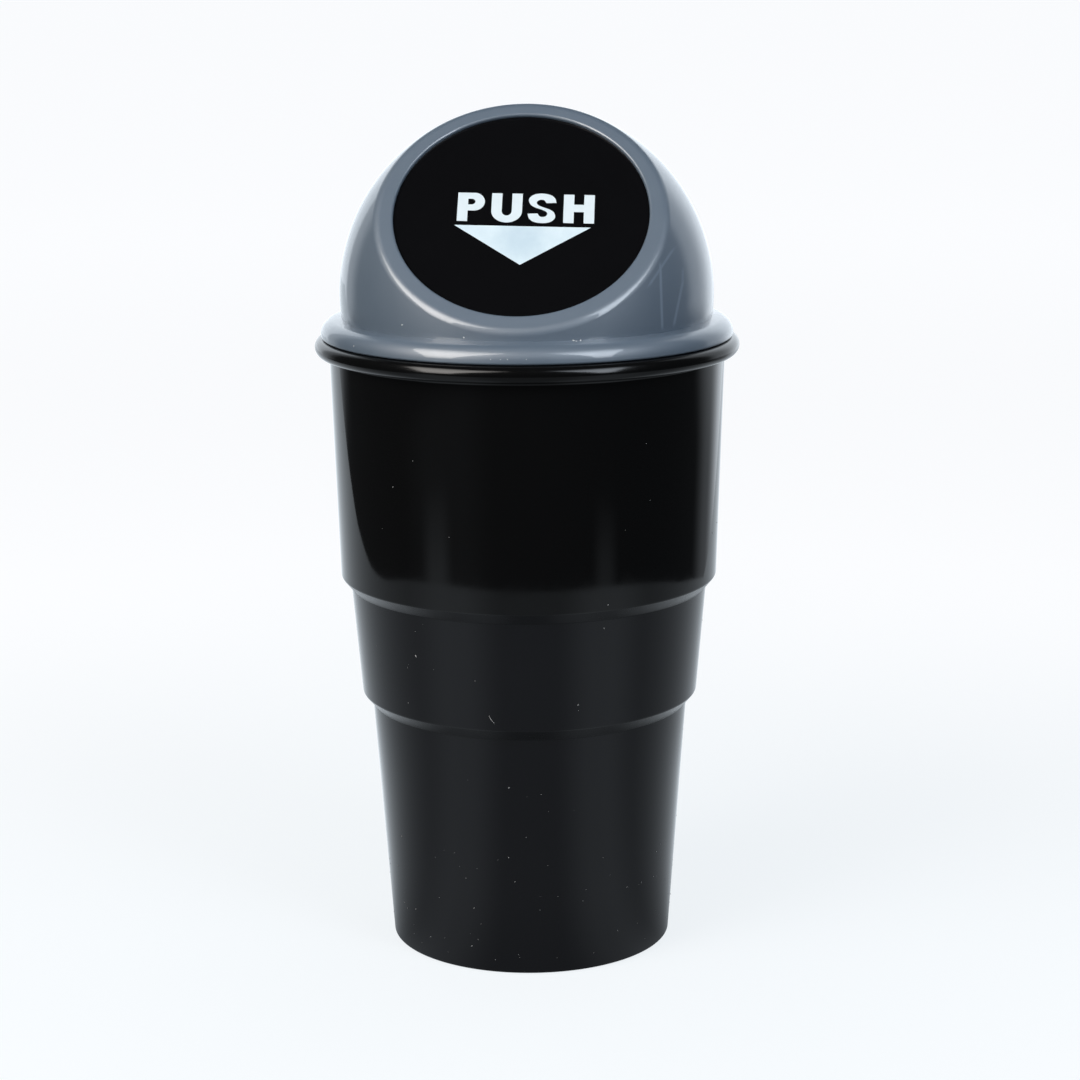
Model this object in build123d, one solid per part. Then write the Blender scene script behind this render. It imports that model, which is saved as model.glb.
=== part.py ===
from build123d import *
import os
import math

# Cup-holder trash bin: a stepped black cup, a domed lid with a slanted mouth,
# and a spring-closed round flap hung on a steel pin at the top of the mouth.
# Millimetres. Origin at the centre of the base, +Z up, the mouth faces -Y.

# ---- bin body: one stepped cup --------------------------------------------
BASE_R = 31.92            # outer radius at the foot
TIER3_TOP = (35.90, 55.50)    # (radius, height) top of the lowest tier
TIER2_LOW = (38.20, 58.10)
TIER2_TOP = (40.30, 82.60)
TIER1_LOW = (42.57, 85.20)
TIER1_TOP = (44.16, 135.35)   # where the wall runs into the rim bead
RIM_OUT_R = 47.40         # outside of the rim bead
RIM_TOP_Z = 139.25
RIM_BEAD_R = 1.94
WALL = 1.5
FOOT_H = 1.0              # recess under the base
FOOT_IN_R = 28.8          # inside of the foot ring
FLOOR_T = 1.8
GATE_R = 2.2              # moulding gate mark in the recess
GATE_H = 0.35

# ---- lid: dome, slanted ring, flange and plug skirt ------------------------
DOME_Z = 148.58           # height of the sphere's centre
DOME_R = 41.65
SHELL = 1.8
FACE_TILT = 45.0          # degrees: the ring face looks up this much from -Y
FACE_D = 27.43            # ring face to the sphere's centre
FACE_EDGE_R = 2.5         # rounding between ring face and dome
RING_T = 1.8              # thickness of the ring plate
LIP_T = 0.84              # lip left in front of the flap's rebate
MOUTH_R = 27.6
MOUTH_U = 0.5             # the mouth sits this much above the ring's middle
REBATE_R = 29.4
MOUTH_EDGE_R = 0.55       # rounding of the mouth's front edge
DOME_CUT_Z = 143.30       # the dome stops here, the flange carries on
FLANGE_R = 46.0
FLANGE_TOP_Z = 142.90     # height of the flange's outer shoulder before rounding
FLANGE_Z = 139.30         # underside of the flange
FLANGE_EDGE_R = 3.2
FLANGE_LIP_R = 44.4       # inside of the flange's lip
CHANNEL_Z = 141.30        # roof of the channel under the flange
SKIRT_OUT_R = 42.2
SKIRT_IN_R = 40.80
SKIRT_Z = 130.60          # lower end of the plug skirt

# ---- flap, in the lid's slanted frame (x across, u up the face, n outward) --
FLAP_R = 28.9
FLAP_GAP = 0.06           # behind the lip
FLAP_T = 1.6
FLAP_RIM_T = 1.4          # width of the stiffening rim at the back
FLAP_RIM_H = 1.4          # how far it stands behind the plate
FLAP_RIB_W = 1.4
FLAP_RIB_END_U = -12.0

# ---- hinge -----------------------------------------------------------------
HINGE_U = 30.2
HINGE_N = 21.3
PIN_R = 1.0
PIN_HALF = 9.2
PIN_FIT_EAR = 0.02        # radial clearance in the lid's ears
PIN_FIT_KNUCKLE = 0.06    # radial clearance in the flap's knuckles
KNUCKLE_R = 2.0
KNUCKLE_X = (3.4, 6.1)
EAR_R = 2.2
EAR_X = (6.4, 8.8)
EAR_SLOT_W = 1.7          # snap-in slot, narrower than the pin

# ---- torsion spring --------------------------------------------------------
WIRE_R = 0.3
COIL_R = 1.75             # to the middle of the wire
COIL_HALF = 2.0           # half the coil's length to the wire's middle
COIL_TURNS = 6
FLAP_LEG = 12.0
LID_LEG = 7.5
LID_LEG_DROP = 10.4       # degrees below level, towards the back

os.makedirs("parts", exist_ok=True)


def section(points, radii):
    """Closed (radius, height) outline with rounded corners, as a face in XZ."""
    line = FilletPolyline(*[(p[0], p[1]) for p in points], radius=radii, close=True)
    return Plane.XZ * make_face(line)


def inner_chain(points, t):
    """Offset an outline of (radius, height) points by t towards the axis."""
    rows = []
    for (r0, z0), (r1, z1) in zip(points, points[1:]):
        length = math.hypot(r1 - r0, z1 - z0)
        nr, nz = -(z1 - z0) / length, (r1 - r0) / length
        rows.append(((r0 + nr * t, z0 + nz * t), (r1 - r0, z1 - z0)))
    out = []
    for (p, d), (q, e) in zip(rows, rows[1:]):
        det = d[0] * -e[1] + e[0] * d[1]
        s = ((q[0] - p[0]) * -e[1] + e[0] * (q[1] - p[1])) / det
        out.append((p[0] + s * d[0], p[1] + s * d[1]))
    return rows, out


def radius_at(row, z):
    (p, d) = row
    return p[0] + d[0] * (z - p[1]) / d[1]


# ============================== bin body ====================================
outer = [(BASE_R, 0.0), TIER3_TOP, TIER2_LOW, TIER2_TOP, TIER1_LOW, TIER1_TOP]
rows, corners = inner_chain(outer, WALL)
floor_z = FOOT_H + FLOOR_T
inner = [(radius_at(rows[0], floor_z), floor_z)] + corners + [(radius_at(rows[-1], RIM_TOP_Z), RIM_TOP_Z)]

pts, rad = [], []


def add(point, r=0.0):
    pts.append(point)
    rad.append(r)


add((0.0, FOOT_H))
add((FOOT_IN_R - 0.5, FOOT_H), 0.4)
add((FOOT_IN_R, 0.0), 0.3)
add(outer[0], 0.45)
add(outer[1], 0.5)
add(outer[2], 0.9)
add(outer[3], 0.5)
add(outer[4], 0.9)
add(outer[5], 0.6)
add((RIM_OUT_R, TIER1_TOP[1]), RIM_BEAD_R)
add((RIM_OUT_R, RIM_TOP_Z), RIM_BEAD_R)
add(inner[5], 0.8)
add(inner[4], 0.9)
add(inner[3], 0.6)
add(inner[2], 0.9)
add(inner[1], 0.6)
add(inner[0], 2.0)
add((0.0, floor_z))
bin_body = revolve(section(pts, rad), axis=Axis.Z)
gate = Pos(0, 0, FOOT_H - GATE_H / 2) * Cylinder(GATE_R, GATE_H)
bin_body = bin_body + gate

# ================================ lid =======================================
tilt = math.radians(FACE_TILT)
face = Plane(origin=(0, 0, DOME_Z), x_dir=(1, 0, 0), z_dir=(0, -math.cos(tilt), math.sin(tilt)))
lip_back = FACE_D - LIP_T
ring_back = FACE_D - RING_T
inner_r = DOME_R - SHELL

# dome and ring plate: one outline turned about the ring's own axis
edge_n = FACE_D - FACE_EDGE_R
edge_c = math.sqrt((DOME_R - FACE_EDGE_R) ** 2 - edge_n ** 2)
k = DOME_R / (DOME_R - FACE_EDGE_R)
on_ball = (edge_c * k, edge_n * k)
half = math.atan2(on_ball[0], on_ball[1]) / 2
mid_edge = (edge_c + FACE_EDGE_R * math.sin(half), edge_n + FACE_EDGE_R * math.cos(half))
ring_in = math.sqrt(inner_r ** 2 - ring_back ** 2)
dome_line = [
    Line((0.0, FACE_D), (edge_c, FACE_D)),
    ThreePointArc((edge_c, FACE_D), mid_edge, on_ball),
    ThreePointArc(on_ball, (DOME_R, 0.0), (0.0, -DOME_R)),
    Line((0.0, -DOME_R), (0.0, -inner_r)),
    ThreePointArc((0.0, -inner_r), (inner_r, 0.0), (ring_in, ring_back)),
    Line((ring_in, ring_back), (0.0, ring_back)),
    Line((0.0, ring_back), (0.0, FACE_D)),
]
dome = revolve(Plane.XZ * make_face(Curve() + dome_line), axis=Axis.Z)

# the mouth with its rounded front edge, and the rebate behind the lip
dome = dome - Pos(0, MOUTH_U, FACE_D) * Cylinder(MOUTH_R, 12)
mouth_edges = [e for e in dome.edges().filter_by(GeomType.CIRCLE)
               if abs(e.radius - MOUTH_R) < 1e-3 and abs(e.arc_center.Z - FACE_D) < 1e-3]
dome = fillet(mouth_edges, MOUTH_EDGE_R)
dome = dome - Pos(0, MOUTH_U, lip_back - 5) * Cylinder(REBATE_R, 10)

# two ears under the top of the dome, each with a snap-in slot for the pin
away = math.degrees(math.atan2(HINGE_N, HINGE_U))
ears = []
for side in (-1, 1):
    x0, x1 = EAR_X
    at = Pos(side * (x0 + x1) / 2, HINGE_U, HINGE_N)
    ear = at * (Rot(0, 90, 0) * Cylinder(EAR_R, x1 - x0)
                + Rot(away, 0, 0) * Pos(0, 6, 0) * Box(x1 - x0, 12, 2 * EAR_R))
    ear = ear & Sphere(DOME_R - 0.8)
    ear = ear & (Pos(0, 0, FACE_D - 0.5 - 50) * Box(200, 200, 100))
    ear = ear - at * (Rot(0, 90, 0) * Cylinder(PIN_R + PIN_FIT_EAR, 10))
    ear = ear - at * (Pos(0, 0, -2.5) * Box(10, EAR_SLOT_W, 5))
    ears.append(ear)

dome = face.location * (dome + ears[0] + ears[1])
dome = dome - Pos(0, 0, DOME_CUT_Z - 100) * Box(300, 300, 200)

cut_in = math.sqrt(inner_r ** 2 - (DOME_Z - DOME_CUT_Z) ** 2)
pts, rad = [], []
add((cut_in + 0.4, DOME_CUT_Z + 0.9))
add((cut_in + 1.5, DOME_CUT_Z + 0.9))
add((cut_in + 1.5, FLANGE_TOP_Z + 0.84))
add((FLANGE_R, FLANGE_TOP_Z), FLANGE_EDGE_R)
add((FLANGE_R, FLANGE_Z), 0.6)
add((FLANGE_LIP_R, FLANGE_Z), 0.2)
add((FLANGE_LIP_R, CHANNEL_Z), 0.3)
add((SKIRT_OUT_R, CHANNEL_Z), 0.3)
add((SKIRT_OUT_R, SKIRT_Z + 1.8), 0.4)
add((SKIRT_OUT_R - 0.5, SKIRT_Z), 0.3)
add((SKIRT_IN_R, SKIRT_Z), 0.3)
add((SKIRT_IN_R - 0.1, FLANGE_Z + 0.2), 0.6)
add((cut_in, DOME_CUT_Z))
flange = revolve(section(pts, rad), axis=Axis.Z)
lid_dome = dome + flange

# ================================ flap ======================================
front = lip_back - FLAP_GAP
rear = front - FLAP_T
disc = Pos(0, MOUTH_U, front - FLAP_T / 2) * Cylinder(FLAP_R, FLAP_T)
disc = fillet(disc.edges().filter_by(GeomType.CIRCLE).group_by(Axis.Z)[-1], 0.4)
rim = Pos(0, MOUTH_U, rear - FLAP_RIM_H / 2 + 0.05) * (
    Cylinder(FLAP_R, FLAP_RIM_H + 0.1) - Cylinder(FLAP_R - FLAP_RIM_T, FLAP_RIM_H + 0.2))
rim = rim - Pos(0, HINGE_U - 4, rear) * Box(2 * (EAR_X[1] + 2.2), 16, 20)
flap = disc + rim
for side in (-1, 1):
    x0, x1 = KNUCKLE_X
    xm = side * (x0 + x1) / 2
    arm_line = Polyline(
        (HINGE_U - 10.0, rear + 0.3), (HINGE_U - 1.7, rear + 0.7), (HINGE_U + 0.9, HINGE_N + 1.75),
        (HINGE_U, HINGE_N - 1.9), (HINGE_U - 1.75, HINGE_N - 0.9), close=True)
    yz = Plane(origin=(xm - (x1 - x0) / 2, 0, 0), x_dir=(0, 1, 0), z_dir=(1, 0, 0))
    arm = extrude(yz * make_face(arm_line), x1 - x0)
    barrel = Pos(xm, HINGE_U, HINGE_N) * Rot(0, 90, 0) * Cylinder(KNUCKLE_R, x1 - x0)
    rib = Pos(xm, (HINGE_U - 8 + FLAP_RIB_END_U) / 2, rear - 0.55) * Box(
        FLAP_RIB_W, HINGE_U - 8 - FLAP_RIB_END_U, 1.3)
    flap = flap + arm + barrel + rib
flap = flap - Pos(0, HINGE_U, HINGE_N) * Rot(0, 90, 0) * Cylinder(PIN_R + PIN_FIT_KNUCKLE, 16)
flap = face.location * flap

# ============================= hinge pin ====================================
pin = Rot(0, 90, 0) * Cylinder(PIN_R, 2 * PIN_HALF)
pin = chamfer(pin.edges().filter_by(GeomType.CIRCLE), 0.2)
hinge_pin = face.location * (Pos(0, HINGE_U, HINGE_N) * pin)

# =========================== torsion spring =================================
# The coil runs along the pin. One leg lies on the back of the flap, the other
# runs back under the dome and bears up against it.
reach = rear - WIRE_R - 0.05 - HINGE_N
a1 = 0.0
for _ in range(40):
    a1 = math.asin((reach - COIL_R * math.cos(a1)) / FLAP_LEG)
drop = math.radians(LID_LEG_DROP)
leg_u = math.sin(tilt) * math.cos(drop) - math.cos(tilt) * math.sin(drop)
leg_n = -math.cos(tilt) * math.cos(drop) - math.sin(tilt) * math.sin(drop)
a2 = math.atan2(-leg_n, leg_u)
turn = COIL_TURNS * 2 * math.pi + a2 - a1
pitch = 2 * COIL_HALF / (turn / (2 * math.pi))
coil = Helix(pitch=pitch, height=2 * COIL_HALF, radius=COIL_R, lefthand=True)
coil_at = Plane(origin=(-COIL_HALF, HINGE_U, HINGE_N), x_dir=(0, math.sin(a1), math.cos(a1)), z_dir=(1, 0, 0))
coil = (coil_at.location * coil).edges()[0]
start, end = coil @ 0, coil @ 1
t0, t1 = coil % 0, coil % 1
ring = Plane(origin=start, z_dir=t0) * Circle(WIRE_R)
wire = sweep(ring, path=coil, is_frenet=True)
leg_a = extrude(Plane(origin=start, z_dir=-t0) * Circle(WIRE_R), FLAP_LEG)
leg_b = extrude(Plane(origin=end, z_dir=t1) * Circle(WIRE_R), LID_LEG)
torsion_spring = face.location * (wire + leg_a + leg_b)

# ================================ write =====================================
for name, piece in (
    ("bin_body", bin_body),
    ("lid_dome", lid_dome),
    ("flap", flap),
    ("hinge_pin", hinge_pin),
    ("torsion_spring", torsion_spring),
):
    solids = piece.solids()
    body = solids[0] if len(solids) == 1 else Compound(children=list(solids))
    body.label = name
    export_step(body, f"parts/{name}.step")
    box = body.bounding_box()
    print(name, len(solids), "solid(s)", round(body.volume, 1), "mm3",
          [round(v, 2) for v in (box.min.X, box.min.Y, box.min.Z, box.max.X, box.max.Y, box.max.Z)])

hinge = face.from_local_coords(Vector(0, HINGE_U, HINGE_N))
print("hinge axis at", round(hinge.X, 3), round(hinge.Y, 3), round(hinge.Z, 3), "coil pitch", round(pitch, 4))
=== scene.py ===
"""Cup-holder trash bin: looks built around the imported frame. Metres, +Z up, the mouth faces -Y."""
import bpy
import bmesh
import math
import random
import numpy as np
from mathutils import Matrix, Vector


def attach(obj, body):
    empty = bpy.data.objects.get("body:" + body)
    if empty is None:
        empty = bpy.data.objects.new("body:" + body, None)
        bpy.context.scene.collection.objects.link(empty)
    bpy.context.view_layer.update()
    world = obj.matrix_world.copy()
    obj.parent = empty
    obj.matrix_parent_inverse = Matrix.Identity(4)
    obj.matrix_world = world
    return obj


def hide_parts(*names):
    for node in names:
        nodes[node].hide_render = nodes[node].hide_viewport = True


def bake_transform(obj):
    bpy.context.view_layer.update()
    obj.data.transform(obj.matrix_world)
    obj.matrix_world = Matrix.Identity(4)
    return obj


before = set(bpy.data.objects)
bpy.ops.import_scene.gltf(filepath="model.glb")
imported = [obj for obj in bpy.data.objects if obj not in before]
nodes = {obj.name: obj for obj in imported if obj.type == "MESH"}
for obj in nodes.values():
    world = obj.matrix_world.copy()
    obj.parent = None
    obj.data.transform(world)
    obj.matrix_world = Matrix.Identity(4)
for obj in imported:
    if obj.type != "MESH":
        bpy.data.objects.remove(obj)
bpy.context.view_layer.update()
scene = bpy.context.scene
MM = 0.001

# ----------------------------------------------------------------------------
# sizes, in millimetres, as in the construction
# ----------------------------------------------------------------------------
BASE_R = 31.92
TIER3_TOP = (35.90, 55.50)
TIER2_LOW = (38.20, 58.10)
TIER2_TOP = (40.30, 82.60)
TIER1_LOW = (42.57, 85.20)
TIER1_TOP = (44.16, 135.35)
RIM_OUT_R = 47.40
RIM_TOP_Z = 139.25
RIM_BEAD_R = 1.94
WALL = 1.5
FOOT_H = 1.0
FOOT_IN_R = 28.8
FLOOR_T = 1.8
GATE_R = 2.2
GATE_H = 0.35

DOME_Z = 148.58
DOME_R = 41.65
SHELL = 1.8
FACE_TILT = math.radians(45.0)
FACE_D = 27.43
FACE_EDGE_R = 2.5
RING_T = 1.8
LIP_T = 0.84
MOUTH_R = 27.6
MOUTH_U = 0.5
REBATE_R = 29.4
MOUTH_EDGE_R = 0.55
DOME_CUT_Z = 143.30
FLANGE_R = 46.0
FLANGE_TOP_Z = 142.90
FLANGE_Z = 139.30
FLANGE_EDGE_R = 3.2
FLANGE_LIP_R = 44.4
CHANNEL_Z = 141.30
SKIRT_OUT_R = 42.2
SKIRT_IN_R = 40.80
SKIRT_Z = 130.60

FLAP_FRONT = FACE_D - LIP_T - 0.06
FLAP_REAR = FLAP_FRONT - 1.6
HINGE_U = 30.2
HINGE_N = 21.3
EAR_X = (6.4, 8.8)
WIRE_R = 0.3
COIL_R = 1.75
COIL_HALF = 2.0
COIL_TURNS = 6
FLAP_LEG = 12.0
LID_LEG = 7.5
LID_LEG_DROP = math.radians(10.4)

INSET = np.array([0.9994, 0.9994, 0.9998])      # keeps the finer skins inside the coarser frame's box
U_AXIS = np.array([0.0, math.sin(FACE_TILT), math.cos(FACE_TILT)])
N_AXIS = np.array([0.0, -math.cos(FACE_TILT), math.sin(FACE_TILT)])
X_AXIS = np.array([1.0, 0.0, 0.0])
BALL = np.array([0.0, 0.0, DOME_Z])


def from_face(x, u, n):
    """Point of the slanted mouth frame, in the row frame, millimetres."""
    return BALL + np.multiply.outer(np.asarray(x, float), X_AXIS) + np.multiply.outer(
        np.asarray(u, float), U_AXIS) + np.multiply.outer(np.asarray(n, float), N_AXIS)


# ----------------------------------------------------------------------------
# mesh helpers
# ----------------------------------------------------------------------------
def rounded(points, radii, arc_step=7.0, line_step=6.0):
    """Open outline of (radius, height) points with rounded corners.
    Returns a list of segments, each a list of ((r, z), (nr, nz)) with the normal on the left of travel."""
    pts = [np.array(p, float) for p in points]
    arcs = {}
    for i in range(1, len(pts) - 1):
        rad = radii[i]
        a, b, c = pts[i - 1], pts[i], pts[i + 1]
        d0 = (b - a) / np.linalg.norm(b - a)
        d1 = (c - b) / np.linalg.norm(c - b)
        cross = d0[0] * d1[1] - d0[1] * d1[0]
        turn = math.atan2(cross, float(d0 @ d1))
        if rad <= 0 or abs(turn) < 1e-6:
            continue
        cut = rad * math.tan(abs(turn) / 2)
        side = 1.0 if turn > 0 else -1.0
        start = b - d0 * cut
        centre = start + rad * side * np.array([-d0[1], d0[0]])
        arcs[i] = (start, centre, turn, rad, side, b + d1 * cut)
    segments = []
    at = pts[0]
    for i in range(1, len(pts)):
        to = arcs[i][0] if i in arcs else pts[i]
        d = to - at
        length = np.linalg.norm(d)
        if length > 1e-6:
            d = d / length
            n = np.array([-d[1], d[0]])
            k = max(1, int(math.ceil(length / line_step)))
            segments.append([(at + d * length * j / k, n) for j in range(k + 1)])
        if i in arcs:
            start, centre, turn, rad, side, end = arcs[i]
            k = max(3, int(math.ceil(math.degrees(abs(turn)) / arc_step)))
            seg = []
            for j in range(k + 1):
                t = turn * j / k
                v = start - centre
                w = np.array([v[0] * math.cos(t) - v[1] * math.sin(t), v[0] * math.sin(t) + v[1] * math.cos(t)])
                seg.append((centre + w, -side * w / rad))
            segments.append(seg)
            to = end
        at = to
    return segments


def turned(segments, count):
    """Zones of rows turned about Z: each row is (points, normals), or one point where it meets the axis."""
    ang = np.linspace(0, 2 * np.pi, count, endpoint=False)
    s, c = np.sin(ang), np.cos(ang)
    zones = []
    for seg in segments:
        rows = []
        for (r, z), (nr, nz) in seg:
            p = np.stack([r * s, r * c, np.full(count, z)], -1)
            n = np.stack([nr * s, nr * c, np.full(count, nz)], -1)
            rows.append((p, n))
        zones.append(rows)
    return zones


def zones_mesh(name, zones, count, closed=False, outward=None, material_of=None):
    """One mesh from zones of rows. Neighbouring zones share their common row, and each face corner
    takes its own zone's exact normal, so roundings and creases shade as they are."""
    verts, row_ids = [], []

    def add_row(p):
        spread = np.abs(p - p[0]).max()
        if spread < 1e-7:
            verts.append(p[0])
            return [len(verts) - 1] * count
        first = len(verts)
        verts.extend(p)
        return list(range(first, first + count))

    faces, corner_normals, face_mats = [], [], []
    prev = None
    first_row = None
    for zi, rows in enumerate(zones):
        ids = []
        for ri, (p, n) in enumerate(rows):
            if ri == 0 and prev is not None:
                ids.append(prev)
            elif closed and zi == len(zones) - 1 and ri == len(rows) - 1:
                ids.append(first_row)
            else:
                ids.append(add_row(p))
            if first_row is None:
                first_row = ids[0]
        prev = ids[-1]
        for ri in range(len(rows) - 1):
            a, b = ids[ri], ids[ri + 1]
            na, nb = rows[ri][1], rows[ri + 1][1]
            for j in range(count):
                k = (j + 1) % count
                quad = [(a[j], na[j]), (a[k], na[k]), (b[k], nb[k]), (b[j], nb[j])]
                loop = []
                for q in quad:
                    if not loop or (q[0] != loop[-1][0] and q[0] != loop[0][0]):
                        loop.append(q)
                if len(loop) < 3:
                    continue
                faces.append([q[0] for q in loop])
                corner_normals.append([q[1] for q in loop])
                face_mats.append(material_of(zi, ri, rows) if material_of else 0)
    v = np.array(verts)
    # faces turn to agree with their normals
    for i, (f, ns) in enumerate(zip(faces, corner_normals)):
        g = np.cross(v[f[1]] - v[f[0]], v[f[2]] - v[f[0]])
        if len(f) == 4:
            g = g + np.cross(v[f[2]] - v[f[0]], v[f[3]] - v[f[0]])
        if float(g @ np.mean(ns, axis=0)) < 0:
            faces[i] = f[::-1]
            corner_normals[i] = ns[::-1]
    v = v * INSET
    mesh = bpy.data.meshes.new(name)
    mesh.from_pydata((v * MM).tolist(), [], faces)
    mesh.polygons.foreach_set("use_smooth", [True] * len(mesh.polygons))
    mesh.polygons.foreach_set("material_index", face_mats)
    flat = [tuple(n) for ns in corner_normals for n in ns]
    mesh.normals_split_custom_set(flat)
    mesh.update()
    obj = bpy.data.objects.new(name, mesh)
    scene.collection.objects.link(obj)
    return obj


def prism(bm, outline, low, high, place):
    """Closed prism of a 2-D outline between two offsets; place(a, b, offset) gives the point in metres."""
    bottom = [bm.verts.new(place(a, b, low)) for a, b in outline]
    top = [bm.verts.new(place(a, b, high)) for a, b in outline]
    n = len(outline)
    bm.faces.new(bottom[::-1])
    bm.faces.new(top)
    for i in range(n):
        j = (i + 1) % n
        bm.faces.new((bottom[i], bottom[j], top[j], top[i]))


def mesh_object(name, bm, smooth_angle=None):
    bmesh.ops.recalc_face_normals(bm, faces=bm.faces[:])
    mesh = bpy.data.meshes.new(name)
    bm.to_mesh(mesh)
    bm.free()
    obj = bpy.data.objects.new(name, mesh)
    scene.collection.objects.link(obj)
    if smooth_angle is not None:
        mesh.polygons.foreach_set("use_smooth", [True] * len(mesh.polygons))
        mesh.set_sharp_from_angle(angle=math.radians(smooth_angle))
    return obj


# ----------------------------------------------------------------------------
# materials
# ----------------------------------------------------------------------------
def new_material(name):
    m = bpy.data.materials.new(name)
    m.use_nodes = True
    nt = m.node_tree
    nt.nodes.clear()
    out = nt.nodes.new("ShaderNodeOutputMaterial")
    bsdf = nt.nodes.new("ShaderNodeBsdfPrincipled")
    nt.links.new(bsdf.outputs["BSDF"], out.inputs["Surface"])
    return m, nt, bsdf


def node(nt, kind, **values):
    n = nt.nodes.new(kind)
    for k, v in values.items():
        if k.startswith("in_"):
            n.inputs[k[3:].replace("_", " ")].default_value = v
        else:
            setattr(n, k, v)
    return n


def noise(nt, coords, scale, detail=2.0, rough=0.5, distortion=0.0):
    n = node(nt, "ShaderNodeTexNoise")
    n.inputs["Scale"].default_value = scale
    n.inputs["Detail"].default_value = detail
    n.inputs["Roughness"].default_value = rough
    n.inputs["Distortion"].default_value = distortion
    nt.links.new(coords, n.inputs["Vector"])
    return n.outputs["Fac"]


def map_range(nt, value, a, b, c, d, smooth=False):
    n = node(nt, "ShaderNodeMapRange")
    if smooth:
        n.interpolation_type = "SMOOTHSTEP"
    n.inputs["From Min"].default_value = a
    n.inputs["From Max"].default_value = b
    n.inputs["To Min"].default_value = c
    n.inputs["To Max"].default_value = d
    nt.links.new(value, n.inputs["Value"])
    return n.outputs["Result"]


def math_node(nt, op, a, b=None):
    n = node(nt, "ShaderNodeMath", operation=op)
    for i, v in enumerate((a, b)):
        if v is None:
            continue
        if isinstance(v, (int, float)):
            n.inputs[i].default_value = v
        else:
            nt.links.new(v, n.inputs[i])
    return n.outputs[0]


def mix_colour(nt, fac, a, b):
    n = node(nt, "ShaderNodeMix", data_type="RGBA")
    nt.links.new(fac, n.inputs["Factor"])
    for i, v in ((6, a), (7, b)):
        if isinstance(v, tuple):
            n.inputs[i].default_value = (*v, 1.0)
        else:
            nt.links.new(v, n.inputs[i])
    return n.outputs[2]


def bump(nt, height, strength, distance, normal=None):
    n = node(nt, "ShaderNodeBump")
    n.inputs["Strength"].default_value = strength
    n.inputs["Distance"].default_value = distance
    nt.links.new(height, n.inputs["Height"])
    if normal is not None:
        nt.links.new(normal, n.inputs["Normal"])
    return n.outputs["Normal"]


def highlight_streak_mask(nt, co, highlight_streaks):
    """Painted highlight streaks: soft thin lighter lines where a plane cuts the surface, between two heights, on the
    front half.
    """
    sep = node(nt, "ShaderNodeSeparateXYZ")
    nt.links.new(co, sep.inputs[0])
    in_front = map_range(nt, sep.outputs["Y"], -0.017, -0.012, 1.0, 0.0, True)
    total = None
    for direction, offset, low, high, level in highlight_streaks:
        dot = node(nt, "ShaderNodeVectorMath", operation="DOT_PRODUCT")
        nt.links.new(co, dot.inputs[0])
        dot.inputs[1].default_value = direction
        away = math_node(nt, "ABSOLUTE", math_node(nt, "SUBTRACT", dot.outputs["Value"], offset))
        line = map_range(nt, away, 0.00005, 0.00042, level, 0.0, True)
        line = math_node(nt, "MULTIPLY", line, map_range(nt, sep.outputs["Z"], low, low + 0.0015, 0.0, 1.0, True))
        line = math_node(nt, "MULTIPLY", line, map_range(nt, sep.outputs["Z"], high - 0.0015, high, 1.0, 0.0, True))
        total = line if total is None else math_node(nt, "MAXIMUM", total, line)
    return math_node(nt, "MULTIPLY", total, in_front)


def plastic(name, dark, light, rough, rough_spread, specular, peel=0.0, peel_scale=120.0, grain=0.0,
            grain_scale=4000.0, mottle=60.0, coat=None, ior=1.5, highlight_streaks=(), streak_highlight_colour=None):
    """Moulded plastic: slight colour drift, uneven gloss, faint flow waves, an optional fine grain and top gloss."""
    m, nt, bsdf = new_material(name)
    if coat is not None:
        bsdf.inputs["Coat Weight"].default_value = 1.0
        bsdf.inputs["Coat Roughness"].default_value = coat
    co = node(nt, "ShaderNodeTexCoord").outputs["Object"]
    drift = noise(nt, co, mottle, 3.0, 0.55)
    colour = mix_colour(nt, drift, dark, light)
    # optional painted highlight streaks: lighter lines mixed into the base colour, standing in for reflections
    if highlight_streaks:
        colour = mix_colour(nt, highlight_streak_mask(nt, co, highlight_streaks), colour, streak_highlight_colour)
    nt.links.new(colour, bsdf.inputs["Base Color"])
    smear = noise(nt, co, mottle * 4.3, 4.0, 0.6, 0.4)
    nt.links.new(map_range(nt, smear, 0.25, 0.75, rough - rough_spread, rough + rough_spread),
                 bsdf.inputs["Roughness"])
    bsdf.inputs["Specular IOR Level"].default_value = specular
    bsdf.inputs["IOR"].default_value = ior
    normal = None
    if peel:
        normal = bump(nt, noise(nt, co, peel_scale, 1.5, 0.4), 1.0, peel)
        if coat is not None:
            nt.links.new(normal, bsdf.inputs["Coat Normal"])
    if grain:
        normal = bump(nt, noise(nt, co, grain_scale, 1.0, 0.5), 1.0, grain, normal)
    if normal is not None:
        nt.links.new(normal, bsdf.inputs["Normal"])
    return m


def steel(name, colour_a, colour_b, rough, stretch):
    """Drawn steel: fine lines along the wire, uneven gloss."""
    m, nt, bsdf = new_material(name)
    co = node(nt, "ShaderNodeTexCoord").outputs["Object"]
    mp = node(nt, "ShaderNodeMapping")
    mp.inputs["Scale"].default_value = stretch
    nt.links.new(co, mp.inputs["Vector"])
    lines = noise(nt, mp.outputs["Vector"], 1.0, 4.0, 0.65)
    nt.links.new(mix_colour(nt, lines, colour_a, colour_b), bsdf.inputs["Base Color"])
    nt.links.new(map_range(nt, lines, 0.2, 0.8, rough - 0.09, rough + 0.12), bsdf.inputs["Roughness"])
    bsdf.inputs["Metallic"].default_value = 1.0
    nt.links.new(bump(nt, lines, 0.35, 0.00002), bsdf.inputs["Normal"])
    return m


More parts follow.
